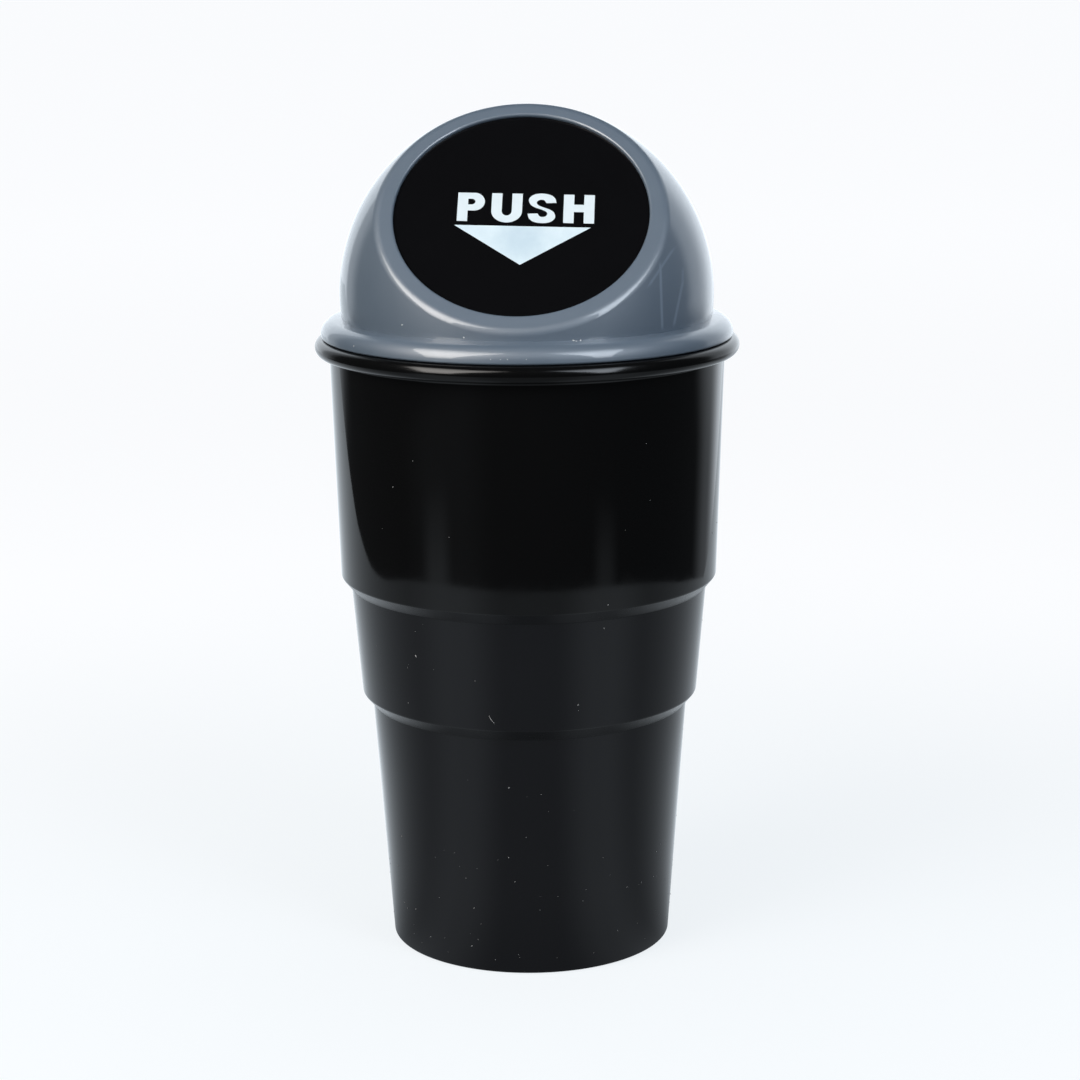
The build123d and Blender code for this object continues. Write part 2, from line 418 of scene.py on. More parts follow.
mat_gloss = plastic("body_gloss", (0.0023, 0.0023, 0.0024), (0.0031, 0.0031, 0.0032), 0.045, 0.012, 0.5,
                    peel=0.000004, peel_scale=90.0)
mat_rim = plastic("rim_black", (0.0020, 0.0020, 0.0021), (0.0028, 0.0028, 0.0029), 0.16, 0.03, 0.38,
                  peel=0.000004, peel_scale=140.0)
mat_lower = plastic("body_lower", (0.0031, 0.0031, 0.0042), (0.0040, 0.0040, 0.0052), 0.12, 0.02, 0.5,
                    peel=0.000003, peel_scale=110.0)
mat_ledge = plastic("body_ledge", (0.0034, 0.0034, 0.0045), (0.0043, 0.0043, 0.0055), 0.28, 0.03, 0.36,
                    peel=0.000003, peel_scale=110.0)
# the lid carries painted highlight streaks: thin lighter lines on the right of the dome's front, standing in for
# reflections
mat_lid = plastic("lid_plastic", (0.0840, 0.1213, 0.166), (0.0917, 0.1305, 0.178), 0.50, 0.03, 1.0,
                  peel=0.000005, peel_scale=70.0, coat=0.035, ior=1.7, streak_highlight_colour=(0.158, 0.208, 0.272),
                  highlight_streaks=(((-0.99932, -0.01385, -0.03413), -0.034975, 0.1438, 0.1590, 1.0),
                          ((-0.99965, 0.00168, 0.02629), -0.030677, 0.1520, 0.1572, 0.6),
                          ((-0.98016, 0.02337, 0.19685), -0.004317, 0.1440, 0.1548, 0.9),
                          ((0.83172, -0.05901, -0.55205), -0.060236, 0.1532, 0.1616, 0.8)))
mat_flap = plastic("flap_black", (0.0021, 0.0021, 0.0026), (0.0027, 0.0027, 0.0033), 0.24, 0.012, 0.25,
                   peel=0.000002, peel_scale=160.0, grain=0.000004, grain_scale=5200.0)
mat_pin = steel("pin_steel", (0.42, 0.42, 0.43), (0.62, 0.62, 0.63), 0.27, (60.0, 4200.0, 4200.0))
mat_spring = steel("spring_steel", (0.30, 0.30, 0.31), (0.48, 0.48, 0.49), 0.32, (900.0, 2400.0, 2400.0))

def ink_layer(name, colour_a, colour_b, middle=None, thin=None):
    """Thick light ink, a little uneven; with a middle point it is thinner and bluer there."""
    m, nt, bsdf = new_material(name)
    co = node(nt, "ShaderNodeTexCoord").outputs["Object"]
    ink = noise(nt, co, 420.0, 3.0, 0.6)
    colour = mix_colour(nt, ink, colour_a, colour_b)
    if middle is not None:
        far = node(nt, "ShaderNodeVectorMath", operation="DISTANCE")
        nt.links.new(co, far.inputs[0])
        far.inputs[1].default_value = middle
        cover = math_node(nt, "ADD", map_range(nt, far.outputs["Value"], 0.001, 0.0075, 0.0, 0.85, True),
                          map_range(nt, ink, 0.3, 0.7, -0.15, 0.15))
        colour = mix_colour(nt, cover, thin, colour)
    nt.links.new(colour, bsdf.inputs["Base Color"])
    nt.links.new(map_range(nt, ink, 0.2, 0.8, 0.42, 0.58), bsdf.inputs["Roughness"])
    bsdf.inputs["Specular IOR Level"].default_value = 0.4
    nt.links.new(bump(nt, noise(nt, co, 2600.0, 2.0, 0.6), 0.5, 0.00001), bsdf.inputs["Normal"])
    return m


mat_word = ink_layer("legend_word", (0.633, 0.715, 0.752), (0.687, 0.769, 0.806))
mat_arrow = ink_layer("legend_arrow", (0.618, 0.734, 0.788), (0.666, 0.778, 0.832),
                      tuple(from_face(0.5, -6.2, FLAP_FRONT) * MM), (0.516, 0.641, 0.718))


def dust_layer(name, dark, light):
    m, nt, bsdf = new_material(name)
    co = node(nt, "ShaderNodeTexCoord").outputs["Object"]
    grey = noise(nt, co, 700.0, 2.0, 0.5)
    nt.links.new(mix_colour(nt, grey, dark, light), bsdf.inputs["Base Color"])
    nt.links.new(map_range(nt, grey, 0.2, 0.8, 0.7, 0.95), bsdf.inputs["Roughness"])
    return m


mat_dust = dust_layer("dust", (0.12, 0.12, 0.12), (0.34, 0.335, 0.33))
mat_lint = dust_layer("lint", (0.40, 0.42, 0.43), (0.66, 0.68, 0.69))

# ----------------------------------------------------------------------------
# bin body: one turned shell, polished, the lower tiers a little less so, the ledges duller
# ----------------------------------------------------------------------------
COUNT = 224


def inner_wall(points, t):
    rows = []
    for (r0, z0), (r1, z1) in zip(points, points[1:]):
        length = math.hypot(r1 - r0, z1 - z0)
        rows.append(((r0 - (z1 - z0) / length * t, z0 + (r1 - r0) / length * t), (r1 - r0, z1 - z0)))
    out = []
    for (p, d), (q, e) in zip(rows, rows[1:]):
        det = d[0] * -e[1] + e[0] * d[1]
        s = ((q[0] - p[0]) * -e[1] + e[0] * (q[1] - p[1])) / det
        out.append((p[0] + s * d[0], p[1] + s * d[1]))
    return rows, out


outer = [(BASE_R, 0.0), TIER3_TOP, TIER2_LOW, TIER2_TOP, TIER1_LOW, TIER1_TOP]
wall_rows, corners = inner_wall(outer, WALL)
floor_z = FOOT_H + FLOOR_T
at_z = lambda row, z: row[0][0] + row[1][0] * (z - row[0][1]) / row[1][1]
profile = [
    ((0.0, FOOT_H - GATE_H), 0), ((GATE_R, FOOT_H - GATE_H), 0.1), ((GATE_R, FOOT_H), 0.1),
    ((FOOT_IN_R - 0.5, FOOT_H), 0.4), ((FOOT_IN_R, 0.0), 0.3), (outer[0], 0.45), (outer[1], 0.5), (outer[2], 0.9),
    (outer[3], 0.5), (outer[4], 0.9), (outer[5], 0.6), ((RIM_OUT_R, TIER1_TOP[1]), RIM_BEAD_R),
    ((RIM_OUT_R, RIM_TOP_Z), RIM_BEAD_R), ((at_z(wall_rows[-1], RIM_TOP_Z), RIM_TOP_Z), 0.8),
    (corners[3], 0.9), (corners[2], 0.6), (corners[1], 0.9), (corners[0], 0.6),
    ((at_z(wall_rows[0], floor_z), floor_z), 2.0), ((0.0, floor_z), 0)]
segments = rounded([p for p, _ in profile], [r for _, r in profile])
segments = [[(p, -n) for p, n in seg] for seg in segments]     # travel has the plastic on its left
outside_from = TIER1_LOW[1] - 0.75


def body_material(zi, ri, rows):
    p, n = rows[ri]
    q, m = rows[ri + 1]
    r, z = float(np.hypot(p[0][0], p[0][1])), float((p[0][2] + q[0][2]) / 2)
    nr = float(n[0] @ np.array([p[0][0], p[0][1], 0.0])) / max(r, 1e-6)
    if r > TIER1_TOP[0] + 0.45 or z > 137.5:
        return 2
    if nr > 0.05 and (TIER3_TOP[1] - 0.3 < z < TIER2_LOW[1] - 0.3 or TIER2_TOP[1] - 0.3 < z < TIER1_LOW[1] - 0.3):
        return 3
    return 0 if z > outside_from and nr > -0.2 else 1


body = zones_mesh("bin_body_skin", turned(segments, COUNT), COUNT, material_of=body_material)
body.data.materials.append(mat_gloss)
body.data.materials.append(mat_lower)
body.data.materials.append(mat_rim)
body.data.materials.append(mat_ledge)
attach(body, "bin")
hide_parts("bin_body")

# ----------------------------------------------------------------------------
# lid: one closed skin from the mouth over the ring, dome, flange and skirt, and back inside
# ----------------------------------------------------------------------------
LID_COUNT = 256
ang = np.linspace(0, 2 * np.pi, LID_COUNT, endpoint=False)
SA, CA = np.sin(ang), np.cos(ang)


def ring_row(r, n, centre_u, nr, nn):
    """Circle about the mouth's axis; nr and nn are the normal's parts away from and along the axis."""
    p = from_face(r * SA, centre_u + r * CA, np.full(LID_COUNT, n))
    v = np.multiply.outer(SA * nr, X_AXIS) + np.multiply.outer(CA * nr, U_AXIS) + N_AXIS * nn
    return p, v


def flange_row(r, z, nr, nz):
    p = np.stack([r * SA, r * CA, np.full(LID_COUNT, z)], -1)
    v = np.stack([nr * SA, nr * CA, np.full(LID_COUNT, nz)], -1)
    return p, v


def ball_rows(start, end, count, sign):
    """Rows on the ball between two circles, along great circles."""
    a, b = start - BALL, end - BALL
    ra = np.linalg.norm(a, axis=1, keepdims=True)
    a, b = a / ra, b / np.linalg.norm(b, axis=1, keepdims=True)
    w = np.arccos(np.clip((a * b).sum(1, keepdims=True), -1, 1))
    rows = []
    for i in range(count + 1):
        t = i / count
        d = (np.sin((1 - t) * w) * a + np.sin(t * w) * b) / np.sin(w)
        rows.append((BALL + d * ra, sign * d))
    return rows


lip_back = FACE_D - LIP_T
ring_back = FACE_D - RING_T
inner_r = DOME_R - SHELL
edge_n = FACE_D - FACE_EDGE_R
edge_c = math.sqrt((DOME_R - FACE_EDGE_R) ** 2 - edge_n ** 2)
edge_turn = math.atan2(edge_c, edge_n)
ring_in = math.sqrt(inner_r ** 2 - ring_back ** 2)
cut_in = math.sqrt(inner_r ** 2 - (DOME_Z - DOME_CUT_Z) ** 2)

zones = []
m0 = MOUTH_R
zones.append([ring_row(m0, lip_back, MOUTH_U, -1, 0), ring_row(m0, FACE_D - MOUTH_EDGE_R, MOUTH_U, -1, 0)])
zones.append([ring_row(m0 + MOUTH_EDGE_R * (1 - math.cos(t)), FACE_D - MOUTH_EDGE_R * (1 - math.sin(t)), MOUTH_U,
                       -math.cos(t), math.sin(t)) for t in np.linspace(0, math.pi / 2, 9)])
flat_a = ring_row(m0 + MOUTH_EDGE_R, FACE_D, MOUTH_U, 0, 1)
flat_b = ring_row(edge_c, FACE_D, 0.0, 0, 1)
zones.append([((1 - t) * flat_a[0] + t * flat_b[0], flat_b[1]) for t in np.linspace(0, 1, 4)])
zones.append([ring_row(edge_c + FACE_EDGE_R * math.sin(t), edge_n + FACE_EDGE_R * math.cos(t), 0.0,
                       math.sin(t), math.cos(t)) for t in np.linspace(0, edge_turn, 15)])
# the crease where the flange leaves the dome
top_a = (cut_in + 1.5, FLANGE_TOP_Z + 0.84)
slope = (FLANGE_TOP_Z - top_a[1]) / (FLANGE_R - top_a[0])
r_j = top_a[0]
for _ in range(40):
    z_j = top_a[1] + slope * (r_j - top_a[0])
    r_j = math.sqrt(DOME_R ** 2 - (z_j - DOME_Z) ** 2)
crease = flange_row(r_j, z_j, 1, 0)[0]
zones.append(ball_rows(zones[-1][-1][0], crease, 56, 1.0))
flange_pts = [((r_j, z_j), 0), ((FLANGE_R, FLANGE_TOP_Z), FLANGE_EDGE_R), ((FLANGE_R, FLANGE_Z), 0.6),
              ((FLANGE_LIP_R, FLANGE_Z), 0.2), ((FLANGE_LIP_R, CHANNEL_Z), 0.3), ((SKIRT_OUT_R, CHANNEL_Z), 0.3),
              ((SKIRT_OUT_R, SKIRT_Z + 1.8), 0.4), ((SKIRT_OUT_R - 0.5, SKIRT_Z), 0.3), ((SKIRT_IN_R, SKIRT_Z), 0.3),
              ((SKIRT_IN_R - 0.1, FLANGE_Z + 0.2), 0.6), ((cut_in, DOME_CUT_Z), 0)]
for seg in rounded([p for p, _ in flange_pts], [r for _, r in flange_pts], arc_step=6.0, line_step=3.0):
    zones.append([flange_row(r, z, nr, nz) for (r, z), (nr, nz) in seg])
back_edge = ring_row(ring_in, ring_back, 0.0, 0, -1)
zones.append(ball_rows(zones[-1][-1][0], back_edge[0], 40, -1.0))
rebate_edge = ring_row(REBATE_R, ring_back, MOUTH_U, 0, -1)
zones.append([back_edge, rebate_edge])
zones.append([ring_row(REBATE_R, ring_back, MOUTH_U, -1, 0), ring_row(REBATE_R, lip_back, MOUTH_U, -1, 0)])
zones.append([ring_row(REBATE_R, lip_back, MOUTH_U, 0, -1), ring_row(m0, lip_back, MOUTH_U, 0, -1)])
lid = zones_mesh("lid_skin", zones, LID_COUNT, closed=True)
lid.data.materials.append(mat_lid)
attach(lid, "lid")
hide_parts("lid_dome")

# two snap-in hinge ears under the dome
phi = math.atan2(HINGE_N, HINGE_U)
ear = []
d2, p2 = np.array([math.cos(phi), math.sin(phi)]), np.array([-math.sin(phi), math.cos(phi)])
ear.append(3.2 * d2 + 2.2 * p2)
for a in np.linspace(phi + math.pi / 2, math.radians(247.3), 22):
    ear.append(2.2 * np.array([math.cos(a), math.sin(a)]))
for a in np.linspace(math.radians(213.6), math.radians(-33.6), 32):
    ear.append(1.02 * np.array([math.cos(a), math.sin(a)]))
for a in np.linspace(math.radians(292.7), phi + 1.5 * math.pi, 6):
    ear.append(2.2 * np.array([math.cos(a), math.sin(a)]))
ear.append(3.2 * d2 - 2.2 * p2)
bm = bmesh.new()
for side in (-1, 1):
    prism(bm, [tuple(p) for p in ear], side * EAR_X[0], side * EAR_X[1],
          lambda a, b, x: Vector(from_face(x, HINGE_U + a, HINGE_N + b) * MM))
ears = mesh_object("lid_ears", bm, 35)
ears.data.materials.append(mat_lid)
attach(ears, "lid")

# ----------------------------------------------------------------------------
# flap and pin: the construction's own shapes
# ----------------------------------------------------------------------------
for name, mat in (("flap", mat_flap), ("hinge_pin", mat_pin)):
    slots = nodes[name].material_slots
    for s in slots:
        s.material = mat

# ----------------------------------------------------------------------------
# torsion spring: one leg reaches to the flap, the other stays under the dome
# ----------------------------------------------------------------------------
reach = FLAP_REAR - WIRE_R - 0.05 - HINGE_N
a1 = 0.0
for _ in range(40):
    a1 = math.asin((reach - COIL_R * math.cos(a1)) / FLAP_LEG)
leg_u = math.sin(FACE_TILT) * math.cos(LID_LEG_DROP) - math.cos(FACE_TILT) * math.sin(LID_LEG_DROP)
leg_n = -math.cos(FACE_TILT) * math.cos(LID_LEG_DROP) - math.sin(FACE_TILT) * math.sin(LID_LEG_DROP)
a2 = math.atan2(-leg_n, leg_u)
whole = COIL_TURNS * 2 * math.pi + a2 - a1
lead = 2 * COIL_HALF / whole
path = []


def coil_point(t):
    # from the flap's side: the angle runs so that the first leg leaves towards the flap's middle
    a = a1 + t
    return np.array([-COIL_HALF + lead * t, HINGE_U + COIL_R * math.sin(a), HINGE_N + COIL_R * math.cos(a)])


def coil_dir(t):
    a = a1 + t
    d = np.array([lead, COIL_R * math.cos(a), -COIL_R * math.sin(a)])
    return d / np.linalg.norm(d)


for s in np.linspace(FLAP_LEG, 0.0, 13)[:-1]:
    path.append(coil_point(0.0) - coil_dir(0.0) * s)
for t in np.linspace(0.0, whole, COIL_TURNS * 26):
    path.append(coil_point(t))
for s in np.linspace(0.0, LID_LEG, 9)[1:]:
    path.append(coil_point(whole) + coil_dir(whole) * s)
path = np.array([from_face(*p) for p in path])
RING = 10
bm = bmesh.new()
tangent = np.gradient(path, axis=0)
tangent /= np.linalg.norm(tangent, axis=1, keepdims=True)
across = np.cross(tangent[0], X_AXIS)
rings = []
for p, t in zip(path, tangent):
    across = across - t * float(across @ t)
    across /= np.linalg.norm(across)
    other = np.cross(t, across)
    rings.append([bm.verts.new(Vector((p + WIRE_R * (math.cos(2 * math.pi * k / RING) * across
                                                   + math.sin(2 * math.pi * k / RING) * other)) * MM))
                  for k in range(RING)])
for a, b in zip(rings, rings[1:]):
    for k in range(RING):
        bm.faces.new((a[k], a[(k + 1) % RING], b[(k + 1) % RING], b[k]))
bm.faces.new(rings[0][::-1])
bm.faces.new(rings[-1])
spring = mesh_object("spring_wire", bm, 60)
spring.data.materials.append(mat_spring)
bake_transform(spring)
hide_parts("torsion_spring")

# ----------------------------------------------------------------------------
# operating legend on the flap: plain block capitals over a down arrow, as thin printed ink
# ----------------------------------------------------------------------------
INK = 0.03
TURN = math.radians(-1.6)
BASE_U, CAP_U = -1.48, 6.35
LEAN = -0.024
STEM = 2.25


def on_flap(a, b, n):
    x = a * math.cos(TURN) - b * math.sin(TURN)
    u = a * math.sin(TURN) + b * math.cos(TURN)
    return Vector(from_face(x, u, n) * MM)


def arc(cx, cy, rx, ry, start, stop, count):
    return [(cx + rx * math.cos(math.radians(a)), cy + ry * math.sin(math.radians(a)))
            for a in np.linspace(start, stop, count)]


def flowing(points, step=6):
    """Smooth open line through the points."""
    p = [2 * points[0] - points[1]] + list(points) + [2 * points[-1] - points[-2]]
    line = []
    for a, b, c, d in zip(p, p[1:], p[2:], p[3:]):
        for k in range(step):
            t = k / step
            line.append(0.5 * (2 * b + (c - a) * t + (2 * a - 5 * b + 4 * c - d) * t * t
                               + (3 * b - a - 3 * c + d) * t ** 3))
    return line + [points[-1]]


def letter_p(x):
    # a stem and a bowl, so the counter stays open
    stem = [(x, BASE_U), (x + STEM, BASE_U), (x + STEM, CAP_U - 4.9), (x + STEM, CAP_U - 3.25),
            (x + STEM, CAP_U - 1.65), (x + STEM, CAP_U), (x, CAP_U)]
    bowl = [(x + STEM, CAP_U - 4.9)] + arc(x + 3.6, CAP_U - 2.45, 2.25, 2.45, -90, 90, 25) + [(x + STEM, CAP_U)]
    bowl += [(x + STEM, CAP_U - 1.65)] + arc(x + 2.95, CAP_U - 2.45, 0.85, 0.80, 90, -90, 17) + [(x + STEM, CAP_U - 3.25)]
    return [stem, bowl]


def letter_u(x):
    w, low, h = 6.65, 1.50, 6.65 / 2
    out = [(x, CAP_U), (x, low)] + arc(x + h, low, h, 3.15, 180, 360, 37)[1:-1] + [(x + w, low), (x + w, CAP_U)]
    out += [(x + w - STEM, CAP_U), (x + w - STEM, low)]
    out += arc(x + h, low, h - STEM, 1.25, 360, 180, 21)[1:-1] + [(x + STEM, low), (x + STEM, CAP_U)]
    return [out]


def letter_s(x):
    half = [(6.20, 5.60), (5.86, 6.88), (4.90, 7.80), (3.22, 8.16), (1.48, 7.82), (0.45, 6.66), (0.66, 5.22),
            (1.62, 4.30), (3.10, 3.66), (4.05, 3.12), (4.38, 2.36), (3.85, 1.66), (2.90, 1.66), (2.30, 2.52)]
    line = flowing([np.array(p) for p in half])
    line = line + [np.array((6.44, 8.0)) - p for p in line]
    return [[(x + 1.03 * p[0], BASE_U + 0.978 * p[1]) for p in line]]


def letter_h(x):
    w, low, high = 6.65, 1.60, 3.62
    return [[(x, BASE_U), (x + STEM, BASE_U), (x + STEM, low), (x + w - STEM, low), (x + w - STEM, BASE_U), (x + w, BASE_U),
             (x + w, CAP_U), (x + w - STEM, CAP_U), (x + w - STEM, high), (x + STEM, high), (x + STEM, CAP_U), (x, CAP_U)]]


bm = bmesh.new()
word = letter_p(-13.81) + letter_u(-6.47) + letter_s(1.14) + letter_h(9.1)
word = [[(a + LEAN * (b - BASE_U), b) for a, b in outline] for outline in word]
arrow = [(-14.25, -2.6), (0.55, -13.05), (15.12, -2.6)]
for outline, slot in [(o, 0) for o in word] + [(arrow, 1)]:
    area = sum(a[0] * b[1] - b[0] * a[1] for a, b in zip(outline, outline[1:] + outline[:1]))
    first = len(bm.faces)
    prism(bm, outline if area > 0 else outline[::-1], FLAP_FRONT - 0.02, FLAP_FRONT + INK, on_flap)
    bm.faces.ensure_lookup_table()
    for f in bm.faces[first:]:
        f.material_index = slot
legend = mesh_object("flap_legend", bm)
legend.data.materials.append(mat_word)
legend.data.materials.append(mat_arrow)
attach(legend, "flap")

# ----------------------------------------------------------------------------
# dust specks and a bit of lint on the black body
# ----------------------------------------------------------------------------
rng = random.Random(41)


def wall_point(az, z):
    """Point and outward normal on the body's outside; az is measured from the front, towards +X."""
    for (r0, z0), (r1, z1) in zip(outer, outer[1:]):
        if z <= z1:
            break
    r = r0 + (r1 - r0) * (z - z0) / (z1 - z0)
    a = math.radians(az)
    length = math.hypot(r1 - r0, z1 - z0)
    nr, nz = (z1 - z0) / length, -(r1 - r0) / length
    out = Vector((math.sin(a), -math.cos(a), 0.0))
    return Vector((out.x * r, out.y * r, z)), (out * nr + Vector((0, 0, nz))).normalized()


def speck(bm, at, length, width, turn):
    p, n = at
    side = Vector((0, 0, 1)).cross(n).normalized()
    up = n.cross(side)
    d = side * math.cos(turn) + up * math.sin(turn)
    e = n.cross(d)
    made = bmesh.ops.create_icosphere(bm, subdivisions=2, radius=1.0)["verts"]
    for v in made:
        k = 1.0 + 0.35 * (rng.random() - 0.5)
        c = v.co * k
        v.co = (p + d * c.x * length / 2 + e * c.y * width / 2 + n * (0.35 * c.z * width + 0.12 * width)) * MM


def hair(bm, az, z, points, radius):
    """A short curled fibre lying on the wall; points are (across, up) in mm from the start."""
    p0, n = wall_point(az, z)
    side = Vector((0, 0, 1)).cross(n).normalized()
    up = n.cross(side)
    line = [p0 + side * a + up * b + n * (radius * 0.9) for a, b in points]
    rings = []
    for i, p in enumerate(line):
        t = (line[min(i + 1, len(line) - 1)] - line[max(i - 1, 0)]).normalized()
        e = t.cross(n).normalized()
        f = e.cross(t)
        rings.append([bm.verts.new((p + radius * (math.cos(a) * e + math.sin(a) * f)) * MM)
                      for a in np.linspace(0, 2 * math.pi, 6, endpoint=False)])
    for a, b in zip(rings, rings[1:]):
        for k in range(6):
            bm.faces.new((a[k], a[(k + 1) % 6], b[(k + 1) % 6], b[k]))
    bm.faces.new(rings[0][::-1])
    bm.faces.new(rings[-1])


bm = bmesh.new()
for az, z, size in ((-35.4, 73.2, 0.42), (19.0, 63.7, 0.34), (-4.4, 44.3, 0.42), (-19.4, 15.0, 0.30), (-21.1, 5.7, 0.34),
                    (-38.6, 111.1, 0.26), (26.7, 86.4, 0.30), (27.0, 80.7, 0.26), (51.5, 17.8, 0.30), (43.6, 17.8, 0.28),
                    (-2.8, 22.1, 0.26), (-49.8, 10.9, 0.26)):
    speck(bm, wall_point(az, z), size * rng.uniform(1.0, 1.5), size * 0.8, rng.uniform(-1.2, 1.2))
for _ in range(70):
    az = rng.uniform(-180, 180)
    z = rng.choice((rng.uniform(4, 53), rng.uniform(60, 81), rng.uniform(87, 132)))
    size = rng.uniform(0.08, 0.2)
    speck(bm, wall_point(az, z), size * rng.uniform(1.0, 1.8), size * 0.8, rng.uniform(-1.5, 1.5))
# more of it settles towards the foot
for _ in range(120):
    az = rng.uniform(-180, 180)
    z = 3.0 + 25.0 * rng.random() ** 1.3
    size = rng.uniform(0.10, 0.24)
    speck(bm, wall_point(az, z), size * rng.uniform(1.0, 1.7), size * 0.8, rng.uniform(-1.5, 1.5))
t = np.linspace(0, 1, 9)
hair(bm, -9.4, 61.0, [(-0.30 + 1.1 * k ** 1.6, 0.55 - 1.75 * k) for k in t], 0.085)
# a scratch on the rim bead
rim_out = Vector((math.sin(math.radians(-43.8)), -math.cos(math.radians(-43.8)), 0.0))
speck(bm, (rim_out * 47.28 + Vector((0, 0, 137.2)), rim_out), 1.1, 0.13, math.radians(-35))
dust = mesh_object("dust_specks", bm, 180)
dust.data.materials.append(mat_dust)
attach(dust, "bin")

# pale lint on the lid: on the dome, in the crease at its foot and on the flange's edge
bm = bmesh.new()
for p in ((-24.5, -33.59, 146.03), (-10.91, -39.97, 144.31)):
    n = (Vector(p) - Vector(BALL.tolist())).normalized()
    speck(bm, (Vector(p), n), 0.42, 0.32, rng.uniform(-1.0, 1.0))
for az, r, z, tip, size in ((-6.2, 45.93, 140.56, 0.1, 0.24), (-3.6, 45.93, 140.58, 0.1, 0.22), (-1.8, 45.93, 140.6, 0.1, 0.26),
                            (3.1, 45.93, 140.6, 0.1, 0.24), (-50.5, 45.9, 140.85, 0.15, 0.34),
                            (16.9, 41.5, 143.62, 1.0, 0.55), (17.6, 41.9, 143.5, 1.4, 0.40), (18.9, 41.6, 143.6, 1.0, 0.48)):
    a = math.radians(az)
    out_at = Vector((math.sin(a), -math.cos(a), 0.0))
    speck(bm, (out_at * r + Vector((0, 0, z)), (out_at + Vector((0, 0, tip))).normalized()), size * 1.2, size * 0.7,
          rng.uniform(-1.2, 1.2))
lint = mesh_object("lid_lint", bm, 180)
lint.data.materials.append(mat_lint)
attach(lint, "lid")

# ----------------------------------------------------------------------------
# camera: the photograph's own viewing angle
# ----------------------------------------------------------------------------
PITCH, YAW, ROLL, SWING = (math.radians(a) for a in (12.5564, 0.2365, -0.4320, 3.35))
CAM_D, CAM_H = 0.61022, 0.22795
r0 = Vector((1, 0, 0))
f0 = Vector((0, math.cos(PITCH), -math.sin(PITCH)))
d0 = Vector((0, -math.sin(PITCH), -math.cos(PITCH)))
right = r0 * math.cos(YAW) - f0 * math.sin(YAW)
ahead = r0 * math.sin(YAW) + f0 * math.cos(YAW)
right, down = right * math.cos(ROLL) - d0 * math.sin(ROLL), right * math.sin(ROLL) + d0 * math.cos(ROLL)
swing = Matrix.Rotation(SWING, 3, "Z")
right, down, ahead = swing @ right, swing @ down, swing @ ahead
cam_data = bpy.data.cameras.new("camera")
cam_data.sensor_width = 36.0
cam_data.lens = 2750.055 / 1080 * 36.0
cam_data.clip_start, cam_data.clip_end = 0.01, 100.0
cam = bpy.data.objects.new("camera", cam_data)
rot = Matrix((right, -down, -ahead)).transposed().to_4x4()
cam.matrix_world = Matrix.Translation(swing @ Vector((0, -CAM_D, CAM_H))) @ rot
scene.collection.objects.link(cam)
scene.camera = cam

# ----------------------------------------------------------------------------
# stage: pale floor and backdrop for the camera, a bright table and back for the reflections
# ----------------------------------------------------------------------------
scene.view_settings.view_transform = "Standard"


def only_for(obj, camera, others):
    obj.visible_camera = camera
    obj.visible_diffuse = others
    obj.visible_glossy = others
    obj.visible_transmission = others
    obj.visible_shadow = False


def stage_plane(name, outline, z):
    mesh = bpy.data.meshes.new(name)
    mesh.from_pydata([(x, y, z) for x, y in outline], [], [list(range(len(outline)))])
    obj = bpy.data.objects.new(name, mesh)
    scene.collection.objects.link(obj)
    return obj


floor = stage_plane("floor", [(-40, -40), (40, -40), (40, 40), (-40, 40)], -0.0002)
m = bpy.data.materials.new("floor_pale")
m.use_nodes = True
nt = m.node_tree
nt.nodes.clear()
out = nt.nodes.new("ShaderNodeOutputMaterial")
add = nt.nodes.new("ShaderNodeAddShader")
dif = nt.nodes.new("ShaderNodeBsdfDiffuse")
dif.inputs["Color"].default_value = (0.15, 0.15, 0.15, 1)
emi = nt.nodes.new("ShaderNodeEmission")
far = node(nt, "ShaderNodeVectorMath", operation="LENGTH")
nt.links.new(nt.nodes.new("ShaderNodeNewGeometry").outputs["Position"], far.inputs[0])
# painted shade: the floor's glow is darker and bluer close to the object, standing in for its soft shadow, and
# brightest far off
nt.links.new(mix_colour(nt, map_range(nt, far.outputs["Value"], 0.05, 0.42, 0.0, 1.0, True), (0.782, 0.816, 0.841),
                        (0.879, 0.889, 0.907)), emi.inputs["Color"])
nt.links.new(map_range(nt, far.outputs["Value"], 0.42, 1.6, 1.0, 1.06, True), emi.inputs["Strength"])
nt.links.new(dif.outputs[0], add.inputs[0])
nt.links.new(emi.outputs[0], add.inputs[1])
nt.links.new(add.outputs[0], out.inputs["Surface"])
floor.data.materials.append(m)
only_for(floor, True, False)

bm = bmesh.new()
bmesh.ops.create_uvsphere(bm, u_segments=48, v_segments=24, radius=45.0)
back = mesh_object("backdrop", bm, 180)
m = bpy.data.materials.new("backdrop_pale")
m.use_nodes = True
nt = m.node_tree
nt.nodes.clear()
out = nt.nodes.new("ShaderNodeOutputMaterial")
emi = nt.nodes.new("ShaderNodeEmission")
emi.inputs["Color"].default_value = (0.956, 0.965, 0.982, 1)
emi.inputs["Strength"].default_value = 1.0
nt.links.new(emi.outputs[0], out.inputs["Surface"])
back.data.materials.append(m)
only_for(back, True, False)

